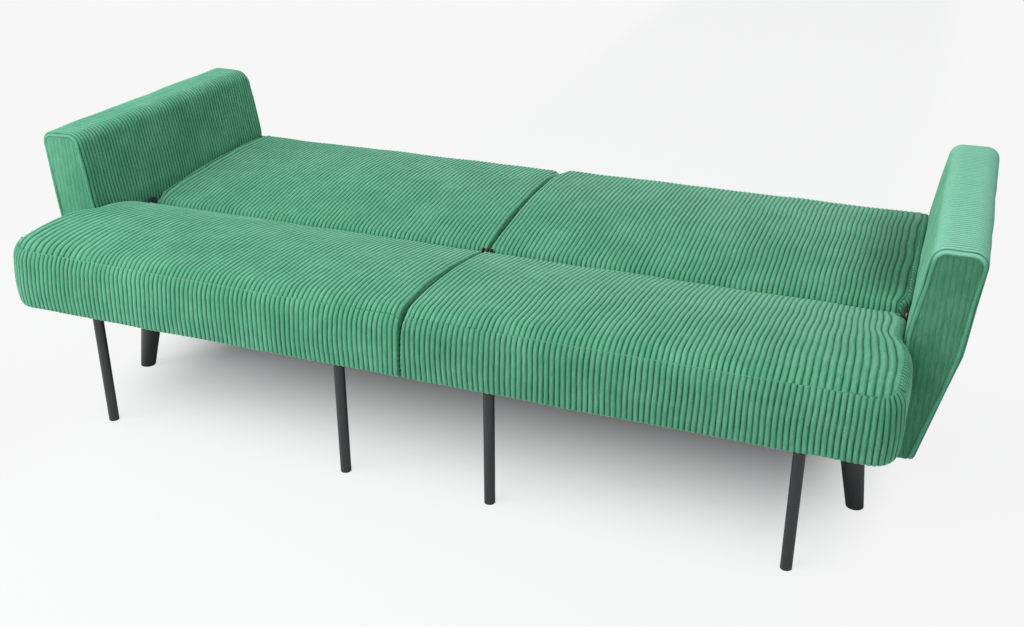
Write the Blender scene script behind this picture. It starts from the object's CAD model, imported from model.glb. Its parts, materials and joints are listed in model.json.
"""Click clack sofa bed in its flat position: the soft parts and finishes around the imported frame.

Left is the sitter's left, towards +X. The seat lies towards -Y and the flat backs towards +Y.
"""

import json
import logging
import math
from dataclasses import dataclass
from enum import Enum

import bmesh
import bpy
import numpy as np
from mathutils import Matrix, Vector


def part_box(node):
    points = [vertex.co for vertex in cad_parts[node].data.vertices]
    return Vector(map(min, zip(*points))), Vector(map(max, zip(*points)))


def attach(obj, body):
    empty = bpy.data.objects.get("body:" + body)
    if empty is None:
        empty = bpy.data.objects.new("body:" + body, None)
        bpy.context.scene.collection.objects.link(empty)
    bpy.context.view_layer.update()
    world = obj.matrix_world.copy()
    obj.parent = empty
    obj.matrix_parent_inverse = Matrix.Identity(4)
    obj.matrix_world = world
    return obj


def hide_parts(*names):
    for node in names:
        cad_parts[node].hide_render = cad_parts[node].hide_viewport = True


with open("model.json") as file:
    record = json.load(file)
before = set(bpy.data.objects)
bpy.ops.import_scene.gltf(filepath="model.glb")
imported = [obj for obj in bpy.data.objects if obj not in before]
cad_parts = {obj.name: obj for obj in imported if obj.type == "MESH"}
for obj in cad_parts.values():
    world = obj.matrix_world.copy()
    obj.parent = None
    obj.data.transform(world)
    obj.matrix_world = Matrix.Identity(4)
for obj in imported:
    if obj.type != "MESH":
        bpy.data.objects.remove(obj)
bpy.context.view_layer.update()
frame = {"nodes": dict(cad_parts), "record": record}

log = logging.getLogger("sofa_bed")

Array = np.ndarray
Triple = tuple[float, float, float]

Material = bpy.types.Material
Object = bpy.types.Object
Socket = bpy.types.NodeSocket

MM = 0.001
PITCH = 10.5 * MM
WALE_HEIGHT = 3.1 * MM
WALE_MIDDLE = 0.6
WALE_ROUNDNESS = 2.1
WALE_SOFTNESS = 0.7
SAMPLES_A_WALE = 8
STEP = PITCH / SAMPLES_A_WALE
WANDER_WAVES = ((0.10, 0.83, 0.27, 1.3), (0.06, -0.31, 0.12, 2.1))
BILLOW_WAVES = ((0.5 * MM, 0.33, 0.61, 1.0), (0.4 * MM, 0.19, -0.27, 2.7), (0.2 * MM, 0.11, 0.15, 4.1))
CRUSH_WAVES = ((1.0, 0.07, 0.09, 1.0),)
DITCH_DEPTH = 0.6 * MM
DITCH_WIDTH = 3.0 * MM
SEAM_FADE = 3.0 * MM
SEAM_KEEP = 0.4
SEAM_SHADE = 0.74
FACE_ROWS = 8
BEND_ROWS = 9
CROWN_ROWS = 45
TAIL_COLUMNS = 11
EDGE_ROWS = 10
SIDE_ROWS = 11
GAP_ROWS = 14 * SAMPLES_A_WALE
GAP_COLUMNS = 50
ARC_POINTS = 9
SECTION_POINTS = 150
END_ROWS = 60
END_COLUMNS = 12 * SAMPLES_A_WALE
FAN = 170 * MM
BLEND = 3 * MM
EASE = 10 * MM
HEM = 14 * MM
HEM_UP = 6.3 * MM
SIDES_APART = 0.37
SHEET_STEP = 12 * MM
SHEET_ROWS = 12
GRAIN_STRETCH = 0.06
BUMP_DEPTH = 0.6 * MM


class Side(Enum):
    """Which half of the sofa a piece belongs to."""

    LEFT = 1
    RIGHT = -1

    @property
    def word(self) -> str:
        """The side's name as the nodes spell it."""
        return self.name.lower()


# Grids and cloth surfaces


def smooth(value: Array, low: float, high: float) -> Array:
    """Smooth step 3t^2 - 2t^3, from 0 at low to 1 at high."""
    t = np.clip((value - low) / (high - low), 0, 1)
    return t * t * (3 - 2 * t)


def between(start: Array | float, end: Array | float, share: Array | float) -> Array | float:
    """The value that lies a share of the way from start to end."""
    return start + (end - start) * share


def steps(count: int, end: float = 1.0) -> Array:
    """Even steps in one column from 0, which is left out, to the end."""
    return np.linspace(0, end, count + 1)[1:, None]


def length_along(points: Array) -> Array:
    """Running length down a polyline, or down each column of a grid."""
    return np.cumsum(np.linalg.norm(np.diff(points, axis=0, prepend=points[:1]), axis=-1), axis=0)


def evenly(path: Array, count: int) -> Array:
    """Points at an even spacing along a polyline.

    Args:
        path: Its corners.
        count: How many points.

    Returns:
        Rows of coordinates.
    """
    run = length_along(path)
    even = np.linspace(0, run[-1], count)
    return np.stack([np.interp(even, run, places) for places in path.T], axis=1)


def unit(vectors: Array) -> Array:
    """The vectors along the last axis, each at length 1."""
    return vectors / np.maximum(np.linalg.norm(vectors, axis=-1, keepdims=True), 1e-9)


def normals_of(points: Array) -> Array:
    """Unit normals of a grid: the cross product of its two directions at each point."""
    return unit(np.cross(np.gradient(points, axis=0), np.gradient(points, axis=1)))


def circle_drop(distance: Array, radius: Array | float) -> Array:
    """Drop of a quarter-round edge: R - sqrt(R^2 - (R - d)^2) within a radius R, nothing further in."""
    out = np.clip((radius - distance) / radius, 0, 1)
    return radius * (1 - np.sqrt(1 - out ** 2))


def wale(phase: Array) -> Array:
    """Ridges, 0 in a valley and 1 on a crest: (1 - |2f - 1|^2.1)^0.7, where f is the share across one."""
    across = phase - np.floor(phase)
    return (1 - np.abs(2 * across - 1) ** WALE_ROUNDNESS) ** WALE_SOFTNESS


def waves(across: Array, along: Array, seed: float, rows: tuple[tuple[float, ...], ...]) -> Array:
    """Sum of slow waves h sin(2 pi (across / a + along / b) + c seed), one for each row of h, a, b and c."""
    return sum(height * np.sin(2 * math.pi * (across / wide + along / long) + shift * seed)
               for height, wide, long, shift in rows)


def crush(across: Array, along: Array, seed: float) -> Array:
    """How full the ridges stand: 0.95 + (0.05 w + 0.06) e, of a slow wave w and each ridge's own share e."""
    each = np.sin(41.0 * np.floor(across / PITCH) + 3.0 * seed)
    return 0.95 + (0.05 * waves(across, along, seed, CRUSH_WAVES) + 0.06) * each


def seam_mask(distance: Array) -> Array:
    """How much of its height a ridge keeps beside a seam: a smooth step up from the seam's share to 1."""
    return between(SEAM_KEEP, 1, smooth(distance, 0, SEAM_FADE))


def near_edge(distance: Array, width: float = DITCH_WIDTH) -> Array:
    """How deep in a seam's ditch a point is: the square of 1 - distance / width, 0 past the width."""
    return np.clip(1 - distance / width, 0, 1) ** 2


@dataclass
class Patch:
    """One panel of cloth as a grid of points, with its ridges and its seams."""

    points: Array
    across: Array
    along: Array
    mask: Array
    ditch: Array | float
    outward: float = 1.0
    uneven: float = 1.0
    shade: float = SEAM_SHADE
    brushed: Array | float = 0.0

    def raised(self, seed: float) -> tuple[Array, Array]:
        """The panel with its ridges raised, its padding uneven and its seams sunk.

        A point moves along its normal by the wale's height less its middle, times the ridge height and
        the mask, and back by the ditch depth beside a seam.

        Args:
            seed: Which piece it is, for the unevenness.

        Returns:
            The moved points, and each point's wale height, turned to a middle shade at the seams.
        """
        normal = normals_of(self.points) * self.outward
        drift = waves(self.across, self.along, seed, WANDER_WAVES)
        height = wale(self.across / PITCH + drift * self.mask)
        lift = (height - WALE_MIDDLE) * WALE_HEIGHT * self.mask * crush(self.across, self.along, seed)
        lift += waves(self.across, self.along, seed, BILLOW_WAVES) * self.mask * self.uneven
        lift -= DITCH_DEPTH * self.ditch
        return self.points + normal * lift[..., None], between(self.shade, height, self.mask)


class Shell:
    """Panels sewn into one closed mesh."""

    def __init__(self, seed: float) -> None:
        """Start with no panels; the seed tells one piece's unevenness from another's."""
        self.seed = seed
        self.points = np.zeros((0, 3))
        self.looks = np.zeros((0, 4))
        self.faces: list[Array] = []

    def add_points(self, points: Array, looks: Array) -> Array:
        """Add loose points.

        Args:
            points: Rows of coordinates.
            looks: Each point's wale height, brushing, and place across and along the ridges.

        Returns:
            The points' indices.
        """
        self.points = np.concatenate([self.points, points])
        self.looks = np.concatenate([self.looks, looks])
        return np.arange(len(self.points) - len(points), len(self.points))

    def add(self, patch: Patch) -> Array:
        """Add a panel with a face between each four neighbouring points.

        Args:
            patch: The panel.

        Returns:
            Indices of its points, rows by columns.
        """
        points, wales = patch.raised(self.seed)
        looks = np.stack(np.broadcast_arrays(wales, patch.brushed, patch.across, patch.along), axis=-1)
        index = self.add_points(points.reshape(-1, 3), looks.reshape(-1, 4)).reshape(wales.shape)
        quads = np.stack([index[:-1, :-1], index[:-1, 1:], index[1:, 1:], index[1:, :-1]], axis=-1)
        self.faces.append(quads.reshape(-1, 4))
        return index

    def zip(self, first: Array, second: Array) -> None:
        """Sew two borders that follow the same curve with a strip of triangles.

        Both borders' places along the curve, as shares of their length, are sorted into one row. Each
        step moves on along the border whose next point comes first, and makes a triangle with the
        point reached so far on the other.

        Args:
            first: Indices along one border.
            second: Indices along the other.
        """
        runs = [length_along(self.points[index]) for index in (first, second)]
        places = np.concatenate([(run / run[-1])[1:] for run in runs])
        owner = np.repeat([0, 1], [len(first) - 1, len(second) - 1])
        owner = owner[np.lexsort((owner, places))]
        at_first, at_second = np.cumsum(owner == 0), np.cumsum(owner == 1)
        apex = np.where(owner == 0, first[at_first.clip(max=len(first) - 1)],
                        second[at_second.clip(max=len(second) - 1)])
        before = first[at_first - (owner == 0)], second[at_second - (owner == 1)]
        self.faces.append(np.stack([*before, apex], axis=-1))

    def triangle(self, *corners: int) -> None:
        """Close a corner where three panels meet with one triangle between three indices."""
        self.faces.append(np.array([corners]))

    def fan(self, ring: Array, middle: Array) -> None:
        """Close a flat opening, whose rim is a ring of indices, with triangles to a point in its middle."""
        hub = self.add_points(middle[None, :], np.zeros((1, 4)))[0]
        self.faces.append(np.stack([ring, np.roll(ring, -1), np.full(len(ring), hub)], axis=-1))

    def hem(self, ring: Array) -> None:
        """Turn a ring of hem in under a cushion, then up, and close it.

        Args:
            ring: Indices round the underside, the first not repeated.
        """
        inset = self.points[ring]
        low, high = inset.min(axis=0), inset.max(axis=0)
        inset[:, :2] = np.clip(inset[:, :2], low[:2] + HEM, high[:2] - HEM)
        raised = inset + np.array([0, 0, HEM_UP])
        before = ring
        for level in (inset, raised):
            shade = np.broadcast_to([SEAM_SHADE, 0.0], (len(ring), 2))
            row = self.add_points(level, np.column_stack([shade, level[:, :2]]))
            self.faces.append(np.stack([before, np.roll(before, -1), np.roll(row, -1), row], axis=-1))
            before = row
        self.fan(before, raised.mean(axis=0))

    def build(self, name: str, side: Side) -> Object:
        """Make the mesh object, mirrored in X for the right side.

        Args:
            name: The object's name.
            side: The half of the sofa that it is for.

        Returns:
            The object, with the attributes wale, brushed and cloth on its points.
        """
        mesh = bpy.data.meshes.new(name)
        fill_mesh(mesh, self.points * np.array([side.value, 1.0, 1.0]), self.faces)
        for column, word in enumerate(("wale", "brushed")):
            layer = mesh.attributes.new(word, "FLOAT", "POINT")
            layer.data.foreach_set("value", self.looks[:, column].astype(np.float32))
        cloth = np.column_stack([self.looks[:, 2:], np.full(len(self.looks), SIDES_APART * side.value)])
        place = mesh.attributes.new("cloth", "FLOAT_VECTOR", "POINT")
        place.data.foreach_set("vector", cloth.astype(np.float32).ravel())
        face_outwards(mesh)
        mesh.shade_smooth()
        return new_object(name, mesh)


def fill_mesh(mesh: bpy.types.Mesh, points: Array, faces: list[Array]) -> None:
    """Put points and faces into an empty mesh.

    Args:
        mesh: The mesh.
        points: Rows of coordinates.
        faces: Arrays of faces, each with one number of corners.
    """
    corners = np.concatenate([block.ravel() for block in faces]).astype(np.int32)
    totals = np.concatenate([np.full(len(block), block.shape[1], np.int32) for block in faces])
    starts = np.concatenate([[0], np.cumsum(totals)[:-1]]).astype(np.int32)
    mesh.vertices.add(len(points))
    mesh.vertices.foreach_set("co", points.astype(np.float32).ravel())
    mesh.loops.add(len(corners))
    mesh.loops.foreach_set("vertex_index", corners)
    mesh.polygons.add(len(totals))
    mesh.polygons.foreach_set("loop_start", starts)
    mesh.polygons.foreach_set("loop_total", totals)
    mesh.update(calc_edges=True)
    mesh.validate()


def face_outwards(mesh: bpy.types.Mesh) -> None:
    """Turn every face of a closed mesh outwards.

    Args:
        mesh: The mesh.
    """
    work = bmesh.new()
    work.from_mesh(mesh)
    bmesh.ops.recalc_face_normals(work, faces=work.faces)
    work.to_mesh(mesh)
    work.free()


def new_object(name: str, data: bpy.types.ID) -> Object:
    """Put an object into the scene.

    Args:
        name: The object's name.
        data: Its mesh, camera or lamp.

    Returns:
        The object.
    """
    made = bpy.data.objects.new(name, data)
    bpy.context.scene.collection.objects.link(made)
    return made


# Cushions


@dataclass
class Cushion:
    """A crowned seat or back cushion: top panel, boxing round the far face and end, gap side, underside.

    Distances s run from the crease between seat and back to the far face.
    """

    name: str
    body: str
    stands_for: tuple[str, ...]
    side: Side
    low: Vector
    high: Vector
    seed: float
    direction: int
    slim: float
    crown_s: float
    crown_z: float
    edge_s: float
    edge_z: float
    far_round: float
    corner_round: float
    lean: float
    end_round: float
    far_gap_round: float
    cheek: float
    cheek_from: tuple[float, float]
    recess: float
    recess_over: tuple[float, float] = (0.1, 0.6)
    end_dip: float = 0.0
    dip_lead: float = 1.0
    dip_from: float = 0.0
    dip_along: tuple[float, float] = (350 * MM, 860 * MM)
    flare: tuple[float, float] = (1.0, 2.0)
    flare_lead: float = 20 * MM
    gentle_ends: tuple[float, float] = (30 * MM, 40 * MM)
    crease_z: float = 373 * MM
    crease_round: float = 26 * MM
    gap_round: tuple[float, float] = (5 * MM, 11 * MM)
    gap_ease: tuple[float, float] = (20 * MM, 120 * MM)
    far_gap_ease: float = 110 * MM
    gap_column: float = 30 * MM
    gap_turn: float = 0.9
    gap_uneven: float = 0.4
    tail: float = 6 * MM
    seam_angle: float = math.radians(46)
    gap_seam: float = math.radians(62)
    low_round: tuple[float, float] = (22 * MM, 34 * MM)
    far_low_round: float = 12 * MM
    hem_in: float = 2 * MM
    puff: float = 2.5 * MM
    tight_round: float = 13 * MM
    shy: float = 0.0
    shy_from_end: tuple[float, float] = (170 * MM, 20 * MM)
    shy_from_crease: tuple[float, float] = (20 * MM, 100 * MM)
    shy_from_far: tuple[float, float] = (160 * MM, 20 * MM)
    far_shy: float = 0.5
    face_shy: float = 0.0

    @property
    def length(self) -> float:
        """Distance from the crease face to the far face."""
        return self.high.y - self.low.y

    @property
    def crease(self) -> float:
        """Y of the crease face."""
        return self.low.y if self.direction > 0 else self.high.y

    @property
    def inner(self) -> float:
        """Inner face, beside the middle gap."""
        return self.low.x

    @property
    def wide(self) -> float:
        """Half length of the cushion at its far corner."""
        return self.high.x

    @property
    def under(self) -> float:
        """Height of the underside."""
        return self.low.z

    @property
    def seam_in(self) -> float:
        """How far the seam stands in from the outline: R (1 - sin a) on the far edge's round."""
        return self.far_round * (1 - math.sin(self.seam_angle))

    def board_line(self, s: Array) -> Array:
        """Half length of the frame under the padding: past the arms it widens by 1 - (1 - t)^2.3."""
        t = np.clip((s - self.flare[0]) / (self.flare[1] - self.flare[0]), 0, 1)
        return between(self.slim, self.wide, 1 - (1 - t) ** 2.3)

    def outer(self, s: Array) -> Array:
        """Half length of the padding: the greater of the board line and a cheek that fills up to the arm.

        The greater of a and b is taken as (a + b + sqrt((a - b)^2 + e^2) - e) / 2 with a small e, so that
        one runs into the other without a kink.

        Args:
            s: Distances from the crease face.

        Returns:
            The outline's X at each distance.
        """
        board = self.board_line(s)
        cheek = self.slim + self.cheek * smooth(s, *self.cheek_from)
        return (board + cheek + np.sqrt((board - cheek) ** 2 + BLEND ** 2) - BLEND) / 2

    def end_radius(self, s: Array) -> Array:
        """Radius of the upper edge at the outer end: tight where it presses on the arm, full past it."""
        return between(self.tight_round, self.end_round,
                       smooth(s, self.flare[0] - self.flare_lead, self.flare[1]))

    def share_of(self, column: Array) -> Array:
        """How far each column lies along the last 170 mm before the end seam, from 0 to 1."""
        return np.clip((column - (self.slim - self.seam_in - FAN)) / FAN, 0, 1)

    def fan(self, s: Array, column: Array) -> Array:
        """How far each column moves out: the last one follows the outline, those before it fan out gently.

        A column's share of the widening is t^1.5, where t runs over the last 170 mm. Its way there
        turns from a long smooth step to the outline's own by t^4. The cheek moves it by t^14.

        Args:
            s: Distances from the crease face, rows by columns.
            column: Places of the columns at the crease.

        Returns:
            Shifts along the sofa.
        """
        share = self.share_of(column)
        board = self.board_line(s) - BLEND / 2
        start, end = self.gentle_ends
        gentle = (self.wide - self.slim) * smooth(s, start, self.length - end)
        widened = between(gentle, board - self.slim, share ** 4)
        return share ** 1.5 * widened + share ** 14 * (self.outer(s) - board)

    def gap_radius(self, s: Array) -> Array:
        """Radius of the upper edge beside the middle gap: tight at the crease, round at the far face.

        Args:
            s: Distances from the crease face.

        Returns:
            Radii.
        """
        near, middle = self.gap_round
        far = (self.far_gap_round - middle) * smooth(s, self.length - self.far_gap_ease, self.length)
        return between(near, middle, smooth(s, *self.gap_ease)) + far

    def gap_in(self, s: Array) -> Array:
        """How far the seam beside the middle gap stands in from the inner face."""
        return self.gap_radius(s) * (1 - math.sin(self.gap_seam))

    def top(self, x: Array, s: Array) -> Array:
        """Height of the crown: the parabola through the crease edge, the crown and the far edge.

        Towards the outer end it dips by half a sine wave from the crease to the far face, of the share
        of the way raised to a power that leads the wave towards the crease.

        Args:
            x: Places along the sofa.
            s: Distances from the crease face.

        Returns:
            Heights before the edges are rounded.
        """
        knots = (self.crease_round, self.crown_s, self.edge_s)
        heights = (self.crease_z, self.crown_z, self.edge_z)
        way = np.clip((s - self.dip_from) / (self.length - self.dip_from), 0, 1) ** self.dip_lead
        dip = self.end_dip * smooth(x, *self.dip_along) * np.sin(math.pi * way)
        return np.polyval(np.polyfit(knots, heights, 2), s) - dip

    def distances(self, x: Array, s: Array) -> tuple[Array, Array]:
        """Distances in from the outer end, and from the nearest part of the outline.

        In the rounded corner of radius R the second is R - sqrt((R - a)^2 + (R - b)^2), where a and b are
        the distances from the far edge and the end.

        Args:
            x: Places along the sofa.
            s: Distances from the crease face.

        Returns:
            Both distances.
        """
        far, end = self.length - self.lean - s, self.outer(s) - x
        corner = self.corner_round
        rounded = corner - np.hypot(np.clip(corner - far, 0, None), np.clip(corner - end, 0, None))
        return end, np.where((far < corner) & (end < corner), rounded, np.minimum(far, end))

    def drop(self, x: Array, s: Array) -> Array:
        """How far the top sinks towards its outer end, far edge, rounded corner and gap side.

        Within a radius R of an edge the drop is that of a circle. R turns from the end's to the far
        edge's round the corner, by the share b^2 / (a^2 + b^2) of the distances a from the far edge and b
        from the end.

        Args:
            x: Places along the sofa.
            s: Distances from the crease face.

        Returns:
            Drops, in metres.
        """
        end, nearest = self.distances(x, s)
        far_part, end_part = (np.clip(way, 1e-6, None) ** 2 for way in (self.length - self.lean - s, end))
        radius = between(self.end_radius(s), self.far_round, end_part / (end_part + far_part))
        return circle_drop(nearest, radius) + circle_drop(x - self.inner, self.gap_radius(s))

    def place(self, x: Array, s: Array, z: Array) -> Array:
        """Points in the row frame from places along the sofa, distances from the crease face and heights."""
        return np.stack(np.broadcast_arrays(x, self.crease + self.direction * s, z), axis=-1)

    def columns(self) -> Array:
        """Places of the top panel's columns between the arms, the last few closer together.

        Returns:
            X of each column at the crease.
        """
        end = self.slim - self.seam_in
        regular = np.arange(self.inner, end - self.tail, STEP)
        tail = end - (end - regular[-1]) * (1 - steps(TAIL_COLUMNS)[:, 0]) ** 2
        return np.concatenate([regular, tail])

    def top_patch(self) -> Patch:
        """Top panel, from the foot of the crease face up over the crown to the seam.

        The columns near the outer end fan out with the outline. Rows go straight up the crease face,
        round its edge on a quarter circle and on along the crown, closer together towards the far seam
        by 1 - (1 - t)^1.25.

        Returns:
            The panel. Its last row lies on the far seam and its last column on the end seam.
        """
        column = self.columns()
        bend = np.linspace(0, math.pi / 2, BEND_ROWS)[:, None]
        corner = self.corner_round
        far_x = column + (self.wide - self.slim) * self.share_of(column) ** 1.5
        reach = np.clip(far_x - (self.wide - corner), 0, corner - self.seam_in)
        last_s = self.length - self.lean - corner + np.sqrt((corner - self.seam_in) ** 2 - reach ** 2)
        low_s = np.concatenate([np.zeros((FACE_ROWS, 1)), self.crease_round * (1 - np.cos(bend))])
        crown_s = between(self.crease_round, last_s, 1 - (1 - steps(CROWN_ROWS)) ** 1.25)
        s = np.concatenate([np.repeat(low_s, len(column), axis=1), crown_s])
        gap_in = self.gap_in(s)
        beside_gap = 1 - smooth(column, self.inner, self.inner + self.gap_column)
        x = column + self.fan(s, column) + beside_gap * gap_in
        z = self.top(x, np.maximum(s, self.crease_round)) - self.drop(x, s)
        z[FACE_ROWS:FACE_ROWS + BEND_ROWS] -= self.crease_round * (1 - np.sin(bend))
        z[:FACE_ROWS] = between(self.under, z[FACE_ROWS], np.linspace(0, 1, FACE_ROWS + 1)[:-1, None])
        points = self.place(x, s, z)
        end, nearest = self.distances(x, s)
        edge = np.where(s < self.crease_round, end, nearest) - self.seam_in
        seam = np.minimum(edge, x - self.inner - gap_in)
        worn = smooth(x, *(self.slim - way for way in self.shy_from_end)) * smooth(s, *self.shy_from_crease)
        worn *= 1 - self.far_shy * smooth(s, *(self.length - way for way in self.shy_from_far))
        mask = seam_mask(np.minimum(seam, z - self.under))
        return Patch(points, column - self.inner, length_along(points), mask, near_edge(seam),
                     outward=-self.direction, brushed=-self.shy * worn)

    def outline(self) -> tuple[Array, Array, tuple[int, int]]:
        """Outline seen from above, from the gap side round the far corner to the crease.

        Returns:
            Places along the sofa, distances from the crease face, and the numbers of the points at
            which the far face and the round corner end.
        """
        corner, far = self.corner_round, self.length
        straight = np.arange(self.inner, self.wide - corner, STEP)
        turn = np.linspace(0, math.pi / 2, max(int(corner * math.pi / 2 / STEP), 8))
        end_s = np.arange(far - corner - STEP, 0, -STEP)
        arc_x = self.wide - corner * (1 - np.sin(turn))
        arc_s = far - corner * (1 - np.cos(turn))
        x = np.concatenate([straight, arc_x, self.outer(end_s), [self.slim]])
        s = np.concatenate([np.full(len(straight), far), arc_s, end_s, [0.0]])
        return x, s, (len(straight) - 1, len(straight) + len(turn) - 1)

    def boxing_patch(self) -> tuple[Patch, int]:
        """Boxing strip with upright ridges along the far face and the outer end.

        Each column starts on the seam, follows the edge's circle out to the face, puffs out a little
        on its way down, and turns in under the cushion on a quarter ellipse.

        Returns:
            The strip, its first row on the seam, and the column where the round corner ends.
        """
        x, s, (far_end, corner_end) = self.outline()
        heading = unit(np.stack([np.gradient(x), np.gradient(s)], axis=1))
        run = length_along(np.stack([x, s], axis=1))
        to_far = 1 - smooth(run, run[far_end] - EASE, run[corner_end] + EASE)
        radius = between(self.end_radius(s), self.far_round, to_far)
        lean = self.lean * to_far
        start = np.arcsin(np.clip(1 - self.seam_in / radius, 0, 1))
        angle = between(start, math.pi / 2, np.linspace(0, 1, EDGE_ROWS)[:, None])
        crest = self.top(x, np.clip(s, self.crease_round, self.edge_s)) - circle_drop(s, self.crease_round)
        crest -= circle_drop(x - self.inner, self.gap_radius(s))
        extra = np.maximum(self.outer(s) - self.board_line(s), 0) * (1 - to_far) * self.recess
        low_x, low_z = (between(size, self.far_low_round, to_far) for size in self.low_round)
        down = steps(SIDE_ROWS)
        turn = steps(ARC_POINTS - 1, math.pi / 2)
        upper_z = crest - radius * (1 - np.cos(angle))
        outward = np.concatenate([
            -lean - radius * (1 - np.sin(angle)),
            self.puff * np.sin(math.pi * down) - lean * (1 - down) - extra * smooth(down, *self.recess_over),
            -low_x * (1 - np.cos(turn)) - extra,
            -low_x - extra - self.hem_in * steps(2),
        ])
        z = np.concatenate([
            upper_z,
            between(upper_z[-1], self.under + low_z, down),
            self.under + low_z * (1 - np.sin(turn)),
            np.full((2, len(x)), self.under),
        ])
        points = self.place(x - heading[:, 1] * outward, s + heading[:, 0] * outward, z)
        down_run = length_along(points)
        seam = np.minimum(down_run, np.minimum(run, run[-1] - run))
        mask = seam_mask(seam) * smooth(down_run[-1] - down_run, 0, EASE)
        return Patch(points, run, down_run, mask, near_edge(seam), outward=-self.direction,
                     brushed=-self.face_shy), corner_end

    def gap_patch(self, top_border: Array, far_border: Array) -> Patch:
        """Panel beside the middle gap, with level ridges, between the top panel and the boxing.

        Rows rise evenly from the underside to the top panel's edge. Columns follow that edge, and
        towards the far face they turn to the boxing's curve by t^3.

        Args:
            top_border: Points of the top panel's first column, from the foot of the crease face.
            far_border: Points of the boxing's first column, from the seam down.

        Returns:
            The panel, its last row along the top.
        """
        upper = evenly(top_border[FACE_ROWS - 1:], GAP_COLUMNS)
        top_s, far_s = (self.direction * (border[:, 1] - self.crease) for border in (upper, far_border))
        share = np.linspace(0, 1, GAP_COLUMNS)
        rows = np.linspace(0, 1, GAP_ROWS)[:, None]
        z = between(self.under, upper[:, 2], rows)
        reach = np.interp(z[:, -1], far_border[::-1, 2], far_s[::-1])[:, None]
        s = top_s + (reach - top_s[-1]) * share ** 3
        x = self.inner + self.gap_in(s) * smooth(rows, self.gap_turn, 1)
        edge = np.minimum.reduce([s, reach - s, upper[:, 2] - z, z - self.under])
        return Patch(self.place(x, s, z), z, s, seam_mask(edge), 0.0, outward=-self.direction,
                     uneven=self.gap_uneven)

    def build(self) -> Object:
        """Sew the panels into one closed cushion.

        Returns:
            The cushion's mesh object.
        """
        shell = Shell(self.seed)
        top = shell.add(self.top_patch())
        boxing_patch, corner_end = self.boxing_patch()
        boxing = shell.add(boxing_patch)
        gap = shell.add(self.gap_patch(shell.points[top[:, 0]], shell.points[boxing[:, 0]]))
        shell.zip(top[-1, :], boxing[0, :corner_end + 1])
        shell.zip(top[FACE_ROWS:, -1][::-1], boxing[0, corner_end:])
        shell.zip(top[:FACE_ROWS + 1, -1][::-1], boxing[:, -1])
        shell.zip(top[FACE_ROWS:, 0], gap[-1, :])
        shell.zip(top[:FACE_ROWS + 1, 0], gap[:, 0])
        shell.zip(boxing[:, 0][::-1], gap[:, -1])
        shell.triangle(top[-1, 0], boxing[0, 0], gap[-1, -1])
        shell.hem(np.concatenate([top[0, :-1], boxing[-1, :0:-1], gap[0, :0:-1]]))
        piece = shell.build(self.name, self.side)
        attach(piece, self.body)
        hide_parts(*self.stands_for)
        return piece


# Arms


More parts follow.
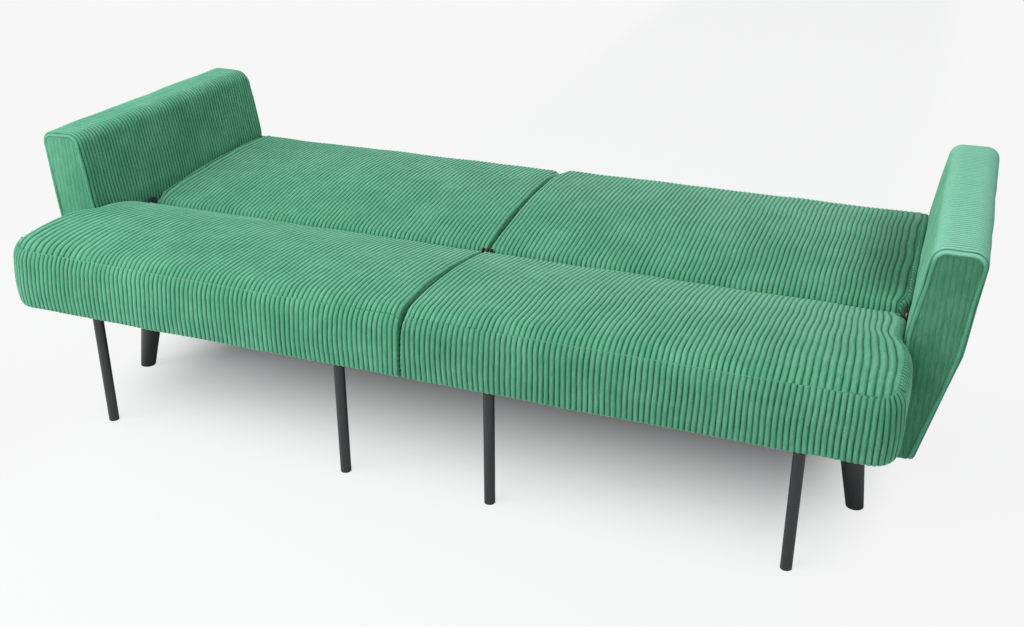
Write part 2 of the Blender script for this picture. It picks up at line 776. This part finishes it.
@dataclass
class Arm:
    """An arm pad: one strip over inner face, top and outer face, and a panel on each end."""

    side: Side
    low: Vector
    high: Vector
    foot_in: float
    seat_in: float
    top_in: float
    seat_z: float
    foot_out: float
    waist_out: float
    waist_z: float
    top_out: tuple[float, float]
    top_z: tuple[float, float]
    seat_round: float = 60 * MM
    edge: float = 27 * MM
    waist_round: float = 45 * MM
    end_round: float = 9 * MM
    seam_in: float = 11 * MM
    front_corner: float = 28 * MM
    puff: float = 2.5 * MM
    piping_in: float = 6 * MM
    piping_width: float = 1.8 * MM
    piping_depth: float = 0.7
    end_ridges: float = 0.25
    end_shade: float = 0.8
    corner_band: tuple[float, float] = (-90 * MM, -5 * MM)
    worn_band: tuple[float, float] = (-30 * MM, -4 * MM)
    worn_edge: float = 12 * MM
    worn: float = 1.0
    end_nap: float = 0.05
    seed: float = 5.0

    def section(self, share: float) -> tuple[Array, Array]:
        """Section of the arm from the inner foot over the top to the outer foot.

        Straight runs joined by arcs: the arc's points are the corner's centre plus its radius along the
        turning normal.

        Args:
            share: 0 at the rear end, 1 at the front end.

        Returns:
            Points (x, z) at even spacing, and outward normals.
        """
        top = between(*self.top_z, share)
        corners = np.array([
            [self.foot_in, self.low.z],
            [self.seat_in, self.seat_z],
            [self.top_in, top],
            [between(*self.top_out, share), top],
            [self.waist_out, self.waist_z],
            [self.foot_out, self.low.z],
        ])
        radii = (self.seat_round, self.edge, self.edge, self.waist_round)
        turn = np.linspace(0, 1, ARC_POINTS)[:, None]
        path = [corners[0]]
        for before, corner, after, radius in zip(corners, corners[1:], corners[2:], radii):
            back, on = unit(before - corner), unit(after - corner)
            half = math.acos(np.clip(back @ on, -1, 1)) / 2
            reach = radius / math.tan(half)
            centre = corner + unit(back + on) * radius / math.sin(half)
            first, last = corner + back * reach - centre, corner + on * reach - centre
            swing = math.pi - 2 * half
            arc = (first * np.sin((1 - turn) * swing) + last * np.sin(turn * swing)) / math.sin(swing)
            path.extend(centre + arc)
        points = evenly(np.array([*path, corners[-1]]), SECTION_POINTS)
        heading = unit(np.gradient(points, axis=0))
        return points, np.stack([-heading[:, 1], heading[:, 0]], axis=1)

    def strip_patch(self) -> Patch:
        """Strip over the arm, its ridges across the top, turned over both ends up to their seams.

        Each row runs between the same point of the rear and the front section. At either end it turns
        in on a quarter circle and then lies flat up to the seam.

        Returns:
            The strip: rows round the section, columns from the rear seam to the front seam.
        """
        rear, front = self.high.y, self.low.y
        body = np.arange(rear - self.end_round, front + self.end_round, -STEP)[1:]
        turn = np.linspace(0, math.pi / 2, ARC_POINTS)
        flat = np.linspace(self.seam_in, self.end_round, 4)[:-1]
        turn_in = self.end_round * (1 - np.sin(turn))
        turn_y = self.end_round * (1 - np.cos(turn))
        y = np.concatenate([rear + 0 * flat, rear - turn_y, body, front + turn_y[::-1], front + 0 * flat])
        inset = np.concatenate([flat, turn_in, 0 * body, turn_in[::-1], flat[::-1]])
        share = (rear - y) / (rear - front)
        (first, first_normal), (last, last_normal) = self.section(0.0), self.section(1.0)
        points = between(first[:, None], last[:, None], share[:, None])
        points -= between(first_normal[:, None], last_normal[:, None], share[:, None]) * inset[:, None]
        x, z = points[..., 0], points[..., 1]
        top = between(*self.top_z, share)
        z = z - circle_drop(y - front, self.front_corner) * smooth(z - top, *self.corner_band)
        z = np.maximum(z, self.low.z)
        walk = length_along(np.stack([y, inset], axis=1))
        seam = np.minimum(walk, walk[-1] - walk)
        foot = length_along(first)[:, None]
        mask = seam_mask(seam) * smooth(np.minimum(foot, foot[-1] - foot), 0, SEAM_FADE / 2)
        high = smooth(z - top, *self.worn_band)
        edge = 1 - smooth(seam, 0, self.worn_edge)
        return Patch(np.stack(np.broadcast_arrays(x, y, z), axis=-1), walk, foot, mask, near_edge(seam),
                     outward=-1.0, brushed=np.maximum(high * self.worn, 0.1 * edge))

    def end_patch(self, border: Array, front: bool) -> Patch:
        """End panel with upright ridges, inside the strip's seam.

        The panel's left and right edges are read from the seam at each height, and its columns are
        even shares of the width between them. Rows come closer together towards the top by
        1 - (1 - t)^1.6. The panel bulges by a half sine wave across times one up its height.

        Args:
            border: The strip's seam points, from the inner foot over the top to the outer foot.
            front: Whether this is the front end.

        Returns:
            The panel, rows from the foot up.
        """
        top = border[:, 2].max()
        peak, *_, last = np.flatnonzero(border[:, 2] > top - 0.3 * MM)
        level = 1 - (1 - np.linspace(0, 1, END_ROWS)[:, None]) ** 1.6
        z = between(self.low.z, border[peak, 2], level)
        inner = np.interp(z, border[:peak + 1, 2], border[:peak + 1, 0])
        outer = np.interp(z, border[last:, 2][::-1], border[last:, 0][::-1])
        share = np.linspace(0, 1, END_COLUMNS)
        x = between(inner, outer, share)
        rise = self.puff * np.sin(math.pi * share) * np.sin(math.pi * level)
        y = border[0, 1] + (-rise if front else rise)
        edge = np.minimum(np.minimum(x - inner, outer - x), top - z)
        mask = smooth(edge, 0, SEAM_FADE) * smooth(z - self.low.z, 0, SEAM_FADE / 2) * self.end_ridges
        piping = near_edge(np.abs(edge - self.piping_in), self.piping_width)
        ditch = near_edge(edge) + self.piping_depth * piping
        return Patch(np.stack(np.broadcast_arrays(x, y, z), axis=-1), x - self.foot_in, z, mask, ditch,
                     outward=-1.0 if front else 1.0, shade=self.end_shade, brushed=self.end_nap)

    def build(self) -> Object:
        """Sew strip and end panels into one closed arm.

        Returns:
            The arm's mesh object.
        """
        shell = Shell(self.seed + self.side.value)
        strip = shell.add(self.strip_patch())
        ends = []
        for column, is_front in ((0, False), (-1, True)):
            panel = shell.add(self.end_patch(shell.points[strip[:, column]], is_front))
            shell.zip(strip[:, column], np.concatenate([panel[:, 0], panel[-1, 1:-1], panel[::-1, -1]]))
            ends.append(panel)
        rear, front = ends
        ring = np.concatenate([strip[0, :], front[0, :], strip[-1, ::-1], rear[0, ::-1]])
        shell.fan(ring, shell.points[ring].mean(axis=0))
        word = self.side.word
        piece = shell.build(f"arm_pad_{word}", self.side)
        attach(piece, "root")
        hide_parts(f"arm_cover_{word}", f"arm_foam_{word}")
        return piece


# Finishes


class Nodes:
    """The nodes of one tree, with short ways to add the usual ones."""

    def __init__(self, tree: bpy.types.NodeTree) -> None:
        """Keep the tree."""
        self.tree = tree

    def fill(self, made: bpy.types.Node, inputs: dict) -> None:
        """Link or set a node's inputs, by name or number; a colour gets its alpha of 1.

        Args:
            made: The node.
            inputs: Values or sockets.
        """
        for key, value in inputs.items():
            if isinstance(value, Socket):
                self.tree.links.new(value, made.inputs[key])
            else:
                coloured = made.inputs[key].type == "RGBA"
                made.inputs[key].default_value = (*value, 1) if coloured else value

    def add(self, kind: str, inputs: dict | None = None, **settings) -> bpy.types.bpy_prop_collection:
        """Add a node, set its properties and its inputs.

        Args:
            kind: The node's type name.
            inputs: Values or sockets for its inputs.
            settings: Properties of the node.

        Returns:
            The node's outputs.
        """
        made = self.tree.nodes.new(kind)
        for key, value in settings.items():
            setattr(made, key, value)
        self.fill(made, inputs or {})
        return made.outputs

    def maths(self, operation: str, first: object, second: object) -> Socket:
        """One number worked out from two."""
        return self.add("ShaderNodeMath", {0: first, 1: second}, operation=operation)[0]

    def vector(self, operation: str, first: object, second: object = (0, 0, 0)) -> Socket:
        """One vector worked out from two, or from the first alone."""
        return self.add("ShaderNodeVectorMath", {0: first, 1: second}, operation=operation)[0]

    def remap(self, value: object, start: float, end: float, low: object = 0.0, high: object = 1.0,
              kind: str = "LINEAR") -> Socket:
        """A number moved from the range start to end into the range low to high, and kept inside it."""
        return self.add("ShaderNodeMapRange", {0: value, 1: start, 2: end, 3: low, 4: high},
                        interpolation_type=kind)[0]

    def mix(self, share: object, first: object, second: object, kind: str = "MIX") -> Socket:
        """Two colours mixed."""
        return self.add("ShaderNodeMix", {0: share, 6: first, 7: second}, data_type="RGBA",
                        blend_type=kind)[2]

    def noise(self, place: object, scale: float, detail: float, warp: float = 0.0) -> Socket:
        """Cloudy noise from 0 to 1."""
        return self.add("ShaderNodeTexNoise",
                        {"Vector": place, "Scale": scale, "Detail": detail, "Distortion": warp})["Fac"]

    def bump(self, height: object, strength: object) -> Socket:
        """A normal that follows a height."""
        inputs = {"Height": height, "Strength": strength, "Distance": BUMP_DEPTH}
        return self.add("ShaderNodeBump", inputs)[0]


def new_material(name: str) -> tuple[Material, Nodes, bpy.types.Node]:
    """Start a material.

    Args:
        name: Its name.

    Returns:
        The material, its nodes and its shader.
    """
    made = bpy.data.materials.new(name)
    made.use_nodes = True
    return made, Nodes(made.node_tree), made.node_tree.nodes["Principled BSDF"]


@dataclass(frozen=True)
class CorduroyFinish:
    """Wide-wale cotton velvet: light crests, dark valleys, brushed patches and a pale sheen at a slant."""

    valley: Triple = (0.009, 0.066, 0.034)
    crest: Triple = (0.074, 0.305, 0.168)
    brushed: Triple = (0.135, 0.40, 0.245)
    slant: Triple = (0.22, 0.53, 0.385)
    pile: Triple = (260.0, 45.0, 1.0)
    fibre: Triple = (1400.0, 420.0, 1.0)

    def material(self) -> Material:
        """Build the material from the wale, brushed and cloth attributes.

        Returns:
            The material.
        """
        made, nodes, shader = new_material("corduroy")
        height = nodes.add("ShaderNodeAttribute", attribute_name="wale")["Fac"]
        brushed = nodes.add("ShaderNodeAttribute", attribute_name="brushed")["Fac"]
        place = nodes.add("ShaderNodeAttribute", attribute_name="cloth")["Vector"]
        spot = nodes.add("ShaderNodeTexCoord")["Object"]
        against = nodes.remap(brushed, 0.0, -1.0, 1.0, 0.45)
        crest = nodes.remap(height, 0.22, 0.97)
        ridge = nodes.mix(crest, self.valley, self.crest)
        streak = nodes.noise(nodes.vector("MULTIPLY", place, self.pile), 1.0, 3.0)
        patches = nodes.remap(nodes.maths("ADD", nodes.noise(spot, 11.0, 3.0), streak), 0.85, 1.3, 0.0, 0.8)
        nap = nodes.mix(nodes.maths("MULTIPLY", patches, crest), ridge, self.brushed)
        facing = nodes.add("ShaderNodeLayerWeight", {"Blend": 0.5})["Facing"]
        grazing = nodes.maths("MULTIPLY", nodes.remap(facing, 0.45, 0.98, 0.0, 0.6, "SMOOTHSTEP"), against)
        pale = nodes.maths("MULTIPLY", nodes.maths("MAXIMUM", grazing, brushed), crest)
        fibre = nodes.noise(nodes.vector("MULTIPLY", place, self.fibre), 1.0, 2.0)
        speck = nodes.maths("MULTIPLY", nodes.remap(fibre, 0.3, 0.7, 0.84, 1.18), against)
        flecked = nodes.mix(1.0, nodes.mix(pale, nap, self.slant), speck, "MULTIPLY")
        nodes.fill(shader, {"Base Color": flecked, "Normal": nodes.bump(fibre, 0.35), "Roughness": 0.85,
                            "Specular IOR Level": 0.2, "Sheen Weight": 0.35, "Sheen Roughness": 0.4,
                            "Sheen Tint": (0.45, 0.95, 0.70)})
        return made


class Texture(Enum):
    """Kinds of surface pattern that the frame's pieces have."""

    SPECKLED = "speckled"
    GRAINED = "grained"
    WOVEN = "woven"


@dataclass(frozen=True)
class FrameFinish:
    """Finish of a material slot of the frame: two shades mixed by a pattern, and a matching bump."""

    name: str
    dark: Triple
    light: Triple
    roughness: tuple[float, float]
    texture: Texture = Texture.SPECKLED
    scale: float = 60.0
    bump: float = 0.1
    metallic: float = 0.0
    coat: float = 0.0

    def material(self, group: bpy.types.NodeTree, along: int) -> Material:
        """Build the material.

        Args:
            group: The nodes that its kind of pattern shares.
            along: Axis of the piece's longest side, which a grain follows.

        Returns:
            The material.
        """
        grained = self.texture is Texture.GRAINED
        made, nodes, shader = new_material(f"{self.name}_{'xyz'[along]}" if grained else self.name)
        density = [self.scale] * 3
        if grained:
            density[along] *= GRAIN_STRETCH
        smoothest, roughest = self.roughness
        pattern = nodes.add("ShaderNodeGroup", {
            "Dark": self.dark, "Light": self.light, "Density": density, "Smoothest": smoothest,
            "Roughest": roughest, "Bump": self.bump}, node_tree=group)
        nodes.fill(shader, {"Base Color": pattern["Color"], "Roughness": pattern["Roughness"],
                            "Normal": pattern["Normal"], "Metallic": self.metallic,
                            "Coat Weight": self.coat, "Coat Roughness": 0.25})
        return made


def pattern_group(texture: Texture) -> bpy.types.NodeTree:
    """Node group that all finishes with one kind of pattern share.

    Args:
        texture: The kind of pattern.

    Returns:
        A group that gives a mixed colour, a roughness and a bumped normal.
    """
    group = bpy.data.node_groups.new(f"{texture.value}_surface", "ShaderNodeTree")
    for way, kind, words in (("INPUT", "Color", ("Dark", "Light")), ("INPUT", "Vector", ("Density",)),
                             ("INPUT", "Float", ("Smoothest", "Roughest", "Bump")),
                             ("OUTPUT", "Color", ("Color",)), ("OUTPUT", "Float", ("Roughness",)),
                             ("OUTPUT", "Vector", ("Normal",))):
        for word in words:
            group.interface.new_socket(word, in_out=way, socket_type=f"NodeSocket{kind}")
    nodes = Nodes(group)
    given = nodes.add("NodeGroupInput")
    spot = nodes.vector("MULTIPLY", nodes.add("ShaderNodeTexCoord")["Object"], given["Density"])
    if texture is Texture.WOVEN:
        height = nodes.add("ShaderNodeTexVoronoi", {"Vector": spot, "Scale": 1.0})["Distance"]
    else:
        height = nodes.noise(spot, 1.0, 5.0, 0.4)
    nodes.add("NodeGroupOutput", {
        "Color": nodes.mix(nodes.remap(height, 0.3, 0.7), given["Dark"], given["Light"]),
        "Roughness": nodes.remap(height, 0.0, 1.0, given["Smoothest"], given["Roughest"]),
        "Normal": nodes.bump(height, given["Bump"])})
    return group


FINISHES = (
    FrameFinish("foam", (0.70, 0.62, 0.42), (0.86, 0.80, 0.62), (0.85, 0.95), Texture.WOVEN, 500.0, 0.4),
    FrameFinish("leg_wood", (0.010, 0.010, 0.011), (0.020, 0.019, 0.018), (0.32, 0.46), Texture.GRAINED,
                90.0, 0.25, coat=0.25),
    FrameFinish("dust_cloth", (0.010, 0.010, 0.011), (0.030, 0.030, 0.032), (0.85, 0.95), Texture.WOVEN,
                900.0, 0.5),
    FrameFinish("foot_plastic", (0.012, 0.012, 0.012), (0.022, 0.022, 0.022), (0.45, 0.6), scale=400.0),
    FrameFinish("black_steel", (0.010, 0.010, 0.011), (0.017, 0.017, 0.018), (0.34, 0.48), scale=900.0,
                bump=0.15),
    FrameFinish("hinge_steel", (0.012, 0.012, 0.014), (0.030, 0.030, 0.032), (0.4, 0.55), scale=120.0),
    FrameFinish("zinc_steel", (0.30, 0.30, 0.29), (0.46, 0.46, 0.44), (0.32, 0.5), scale=160.0,
                metallic=1.0),
    FrameFinish("pine", (0.42, 0.25, 0.11), (0.70, 0.50, 0.29), (0.6, 0.8), Texture.GRAINED, 55.0, 0.3),
)


# Studio


def aim(made: Object, place: Triple, forward: Vector) -> None:
    """Put a camera or lamp at a place and turn its -Z along a direction.

    Args:
        made: The camera or lamp.
        place: Where it stands.
        forward: The direction.
    """
    made.location = place
    made.rotation_mode = "QUATERNION"
    made.rotation_quaternion = forward.to_track_quat("-Z", "Y")


@dataclass(frozen=True)
class Studio:
    """Pale floor, soft lamps and the camera."""

    eye: Triple = (-0.9145, 2.2587, 1.3405)
    forward: Triple = (0.3268, -0.8439, -0.4255)
    lens: float = 41.94
    floor_reach: float = 15.0
    backdrop: Triple = (0.93, 0.93, 0.93)
    fade_along: Triple = (0.66, 0.92, 0.93)
    fade_across: Triple = (0.0, 0.62, 0.87)
    sky_level: float = 0.62

    def camera(self) -> None:
        """Put the camera behind the sofa, turned so that its -Z looks along the forward direction."""
        data = bpy.data.cameras.new("camera")
        data.lens = self.lens
        data.sensor_width = 36.0
        bpy.context.scene.camera = new_object("camera", data)
        aim(bpy.context.scene.camera, self.eye, Vector(self.forward))

    def floor(self) -> None:
        """Lay a wide pale floor that fades to white, as the camera sees it, away from the sofa.

        Under the sofa the shadow shows in full. The fade is 1 - (1 - a)(1 - b), where a rises along the
        sofa's length and b across it.
        """
        mesh = bpy.data.meshes.new("floor")
        reach = self.floor_reach
        mesh.from_pydata([(-reach, -reach, 0), (reach, -reach, 0), (reach, reach, 0), (-reach, reach, 0)],
                         [], [(0, 1, 2, 3)])
        material, nodes, shader = new_material("floor")
        nodes.fill(shader, {"Base Color": (0.86, 0.865, 0.87), "Roughness": 0.7})
        spot = nodes.vector("ADD", nodes.add("ShaderNodeTexCoord")["Object"], (0, 0.1, 0))
        parts = nodes.add("ShaderNodeSeparateXYZ", {0: nodes.vector("ABSOLUTE", spot)})
        still_dark = [nodes.remap(part, start, end, 1.0, 1.0 - most, "SMOOTHSTEP")
                      for part, (start, end, most) in zip(parts, (self.fade_along, self.fade_across))]
        fade = nodes.maths("SUBTRACT", 1.0, nodes.maths("MULTIPLY", *still_dark))
        share = nodes.maths("MULTIPLY", fade, nodes.add("ShaderNodeLightPath")["Is Camera Ray"])
        white = nodes.add("ShaderNodeEmission", {"Color": self.backdrop, "Strength": 1.0})[0]
        mixed = nodes.add("ShaderNodeMixShader", {0: share, 1: shader.outputs[0], 2: white})[0]
        nodes.fill(material.node_tree.nodes["Material Output"], {"Surface": mixed})
        mesh.materials.append(material)
        new_object("floor", mesh)

    def sky(self) -> None:
        """Pale sky light, with the white backdrop where the camera, a gloss or a glass sees it."""
        world = bpy.data.worlds.new("sky")
        world.use_nodes = True
        nodes = Nodes(world.node_tree)
        light = world.node_tree.nodes["Background"]
        nodes.fill(light, {"Color": (0.93, 0.95, 1.0), "Strength": self.sky_level})
        backdrop = nodes.add("ShaderNodeBackground", {"Color": self.backdrop, "Strength": 1.0})[0]
        path = nodes.add("ShaderNodeLightPath")
        seen = nodes.maths("MAXIMUM", path["Is Camera Ray"], path["Is Glossy Ray"])
        seen = nodes.maths("MAXIMUM", seen, path["Is Transmission Ray"])
        mixed = nodes.add("ShaderNodeMixShader", {0: seen, 1: light.outputs[0], 2: backdrop})[0]
        nodes.fill(world.node_tree.nodes["World Output"], {"Surface": mixed})
        bpy.context.scene.world = world

    def lamps(self) -> None:
        """Light the sofa with a wide soft lamp overhead and a softer one beside it."""
        for name, place, target, size, power in (
                ("overhead", (0.9, 1.6, 3.2), (0, 0, 0.3), 2.4, 95.0),
                ("beside", (3.2, 2.4, 1.8), (0.2, 0.2, 0.3), 1.8, 40.0)):
            data = bpy.data.lights.new(name, "AREA")
            data.size = size
            data.energy = power
            aim(new_object(name, data), place, Vector(target) - Vector(place))

    def build(self) -> None:
        """Set the whole studio up."""
        self.camera()
        self.floor()
        self.sky()
        self.lamps()
        bpy.context.scene.view_settings.view_transform = "Standard"


# Assembly


def make_cushions(corduroy: Material) -> list[Object]:
    """Build the four cushions from the sizes of the covers that they stand for.

    Args:
        corduroy: The covers' material.

    Returns:
        The cushions.
    """
    made = []
    back_low, back_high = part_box("back_cover_left")
    seat_low, seat_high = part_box("seat_cover_left")
    slim = seat_high.x
    narrow = Vector((1.5 * MM, 0, 0))
    sag = Vector((0, 0, 2 * MM))
    for side in Side:
        word = side.word
        left = side is Side.LEFT
        fuller = Vector((29 * MM if left else 2 * MM, 0, 0))
        back = Cushion(
            f"back_cushion_{word}", f"back_{word}", (f"back_cover_{word}", f"back_foam_{word}"), side,
            back_low - narrow - sag, back_high + fuller, seed=1.0 + side.value, direction=1, slim=slim,
            crown_s=200 * MM, crown_z=403 * MM, edge_s=382 * MM, edge_z=408 * MM,
            far_round=48 * MM, corner_round=62 * MM if left else 42 * MM, lean=3 * MM,
            end_round=34 * MM if left else 24 * MM, far_gap_round=17 * MM,
            cheek=12 * MM, cheek_from=(18 * MM, 50 * MM), recess=0.5,
            flare=(168 * MM, 350 * MM if left else 300 * MM),
            low_round=(18 * MM, 27 * MM), far_low_round=8 * MM, face_shy=0.0 if left else 0.15,
            end_dip=-13 * MM if left else 0.0, dip_lead=0.6, dip_from=35 * MM)
        seat = Cushion(
            f"seat_cushion_{word}", "root", (f"seat_cover_{word}", f"seat_foam_{word}"), side,
            seat_low - narrow, seat_high, seed=4.0 + side.value, direction=-1, slim=slim,
            crown_s=257 * MM, crown_z=403 * MM, edge_s=490 * MM, edge_z=391 * MM if left else 395 * MM,
            far_round=34 * MM, corner_round=26 * MM, lean=2 * MM, end_round=14 * MM, far_gap_round=28 * MM,
            cheek=14 * MM, cheek_from=(17 * MM, 55 * MM), recess=0.0,
            end_dip=14 * MM if left else 2 * MM, low_round=(12 * MM, 16 * MM),
            shy=0.15 if left else 0.8)
        made += [back.build(), seat.build()]
    for piece in made:
        piece.data.materials.append(corduroy)
    return made


def make_arms(corduroy: Material) -> list[Object]:
    """Build both arms from the size of the cover that they stand for.

    Args:
        corduroy: The covers' material.

    Returns:
        The arms.
    """
    low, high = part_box("arm_cover_left")
    made = []
    for side in Side:
        left = side is Side.LEFT
        fuller, taller, leaning = (11 * MM, 8 * MM, 6 * MM) if left else (3 * MM, 6 * MM, 5 * MM)
        arm = Arm(side, low, high, foot_in=low.x, seat_in=low.x + 4 * MM, top_in=low.x + 24 * MM + leaning,
                  seat_z=400 * MM, foot_out=low.x + 50 * MM, waist_out=low.x + 101 * MM + fuller,
                  waist_z=372 * MM, top_out=(high.x - 8 * MM + fuller, high.x + fuller),
                  top_z=(high.z + taller, high.z - 8 * MM + taller), worn=0.15 if left else 1.0,
                  end_nap=0.05 if left else -0.4)
        piece = arm.build()
        piece.data.materials.append(corduroy)
        made.append(piece)
    return made


def dress_frame(corduroy: Material) -> dict[tuple[str, int], Material]:
    """Give each node of the frame the finish of its material slot, with its grain along the piece.

    Args:
        corduroy: The covers' material.

    Returns:
        The materials by slot and axis of the grain, 0 where there is none.
    """
    finishes = {finish.name: finish for finish in FINISHES}
    groups = {texture: pattern_group(texture) for texture in Texture}
    made = {}
    for part in frame["record"]["subparts"]:
        mesh = frame["nodes"][part["node"]].data
        mesh.materials.clear()
        finish = finishes.get(part["material_slot"])
        if finish is None:
            mesh.materials.append(corduroy)
            continue
        low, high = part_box(part["node"])
        along = int(np.argmax(high - low)) if finish.texture is Texture.GRAINED else 0
        if (finish.name, along) not in made:
            made[finish.name, along] = finish.material(groups[finish.texture], along)
        mesh.materials.append(made[finish.name, along])
    return made


# Sheets


@dataclass
class Sheet:
    """A thin panel of cloth along a path, flat or sagging, with two faces and closed edges."""

    name: str
    path: tuple[Vector, ...]
    along: Vector
    outward: float
    stands_for: str
    rests_on: tuple[str, ...]
    slot: str = "corduroy"
    ribbed: bool = True
    thick: float = 1.2 * MM
    sag: float = 0.0
    ridges: float = 0.8
    softenings: int = 4
    seed: float = 7.0

    def line(self) -> Array:
        """Points along the path at an even spacing, its corners rounded by averaging neighbours.

        Returns:
            Rows of coordinates.
        """
        corners = np.array([list(corner) for corner in self.path])
        step = STEP if self.ribbed else SHEET_STEP
        points = evenly(corners, int(length_along(corners)[-1] / step) + 1)
        for _ in range(self.softenings if len(self.path) > 2 else 0):
            points[1:-1] = (points[:-2] + points[1:-1] + points[2:]) / 3
        return points

    def face(self, offset: float, ribbed: bool) -> Patch:
        """One face of the sheet.

        The sag is the product of the square roots of half sine waves along the path and across it.

        Args:
            offset: Distance behind the outer face.
            ribbed: Whether it shows ridges.

        Returns:
            The face.
        """
        line = self.line()
        long = self.along.length
        u = np.linspace(0, 1, len(line))[:, None]
        v = np.linspace(0, 1, SHEET_ROWS if self.ribbed else int(long / SHEET_STEP) + 1)[:, None, None]
        normal = unit(np.cross(np.gradient(line, axis=0), np.array(self.along))) * self.outward
        drop = self.sag * np.sqrt(np.clip(np.sin(math.pi * u) * np.sin(math.pi * v), 0, None))
        points = line + v * np.array(self.along) + normal * (drop - offset)
        side = np.sign(normals_of(points)[0, 0] @ normal[0])
        mask = np.full(points.shape[:2], self.ridges if ribbed else 0.0)
        return Patch(points, length_along(line), v[..., 0] * long, mask, 0.0, outward=side, uneven=0.0)

    def build(self, material: Material) -> Object:
        """Make the sheet.

        Args:
            material: Its cloth.

        Returns:
            The sheet's mesh object.
        """
        shell = Shell(self.seed)
        outer = shell.add(self.face(0.0, self.ribbed))
        inner = shell.add(self.face(self.thick, False))
        for border in (np.s_[0, :], np.s_[-1, :], np.s_[:, 0], np.s_[:, -1]):
            shell.zip(outer[border], inner[border])
        piece = shell.build(self.name, Side.LEFT)
        piece.data.materials.append(material)
        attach(piece, "root")
        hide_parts(self.stands_for)
        float(length_along(self.line())[-1])
        return piece


def straight(start: float, end: float, y: float, z: float) -> tuple[Vector, Vector]:
    """A straight path along the sofa."""
    return Vector((start, y, z)), Vector((end, y, z))


def make_sheets(corduroy: Material, dust_cloth: Material) -> list[Object]:
    """Build the fabric on the base: front and rear apron, deck cloth and dust sheet.

    The rear apron steps out round the corner blocks behind it, and two small panels close the steps on
    top.

    Args:
        corduroy: The covers' material.
        dust_cloth: Material of the sheet under the base.

    Returns:
        The sheets.
    """
    rail_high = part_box("base_side_rails")[1]
    rear_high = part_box("base_rear_rail")[1]
    low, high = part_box("apron_covers")
    dust_low, dust_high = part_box("base_dust_cloth")
    blocks = np.array([corner.co[0] for corner in frame["nodes"]["base_corner_blocks"].data.vertices])
    half, thick = high.x, Sheet.thick
    block = blocks[blocks > 0].min() - thick - 1 * MM
    beside = half + thick + 0.4 * MM
    behind = rail_high.y + thick + 0.6 * MM
    deck_z = rear_high.z + thick + 0.4 * MM
    deck_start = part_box("base_hinge_rail")[1].y - 3 * MM
    right_step = ((-beside, high.y), (-beside, behind), (-block, behind), (-block, high.y))
    corners = right_step + tuple((-x, y) for x, y in reversed(right_step))
    front = Sheet("front_apron", straight(-half, half, low.y, low.z), Vector((0, 0, high.z - low.z)), 1.0,
                  "apron_covers", ("base_front_rail",))
    rear = Sheet("rear_apron", tuple(Vector((x, y, low.z)) for x, y in corners),
                 Vector((0, 0, rear_high.z - low.z)), -1.0, "apron_covers",
                 ("base_rear_rail", "base_corner_blocks"))
    deck = Sheet("deck_cloth", straight(-half, half, deck_start, deck_z),
                 Vector((0, rear_high.y - deck_start, 0)), 1.0, "apron_covers",
                 ("base_rear_rail", "base_hinge_rail"))
    deck_corners = [Sheet(f"deck_corner_{side.word}",
                          straight(*sorted((side.value * block, side.value * half)), high.y, deck_z),
                          Vector((0, behind - high.y, 0)), 1.0, "apron_covers", ("base_side_rails",))
                    for side in Side]
    dust = Sheet("dust_sheet", straight(-dust_high.x, dust_high.x, dust_low.y, dust_low.z + 0.2 * MM),
                 Vector((0, dust_high.y - dust_low.y, 0)), -1.0, "base_dust_cloth",
                 ("base_front_rail", "base_rear_rail"), "dust_cloth", False, thick=0.6 * MM, sag=5 * MM)
    ribbed = [sheet.build(corduroy) for sheet in (front, rear, deck, *deck_corners)]
    return ribbed + [dust.build(dust_cloth)]


def main() -> None:
    """Build the sofa bed, piece by piece."""
    logging.basicConfig(level=logging.INFO, format="%(name)s: %(message)s")
    corduroy = CorduroyFinish().material()
    finishes = dress_frame(corduroy)
    sheets = make_sheets(corduroy, finishes["dust_cloth", 0])
    for piece in make_cushions(corduroy) + make_arms(corduroy) + sheets:
        log.info("%s: %d points", piece.name, len(piece.data.vertices))
    Studio().build()


if __name__ == "__main__":
    main()
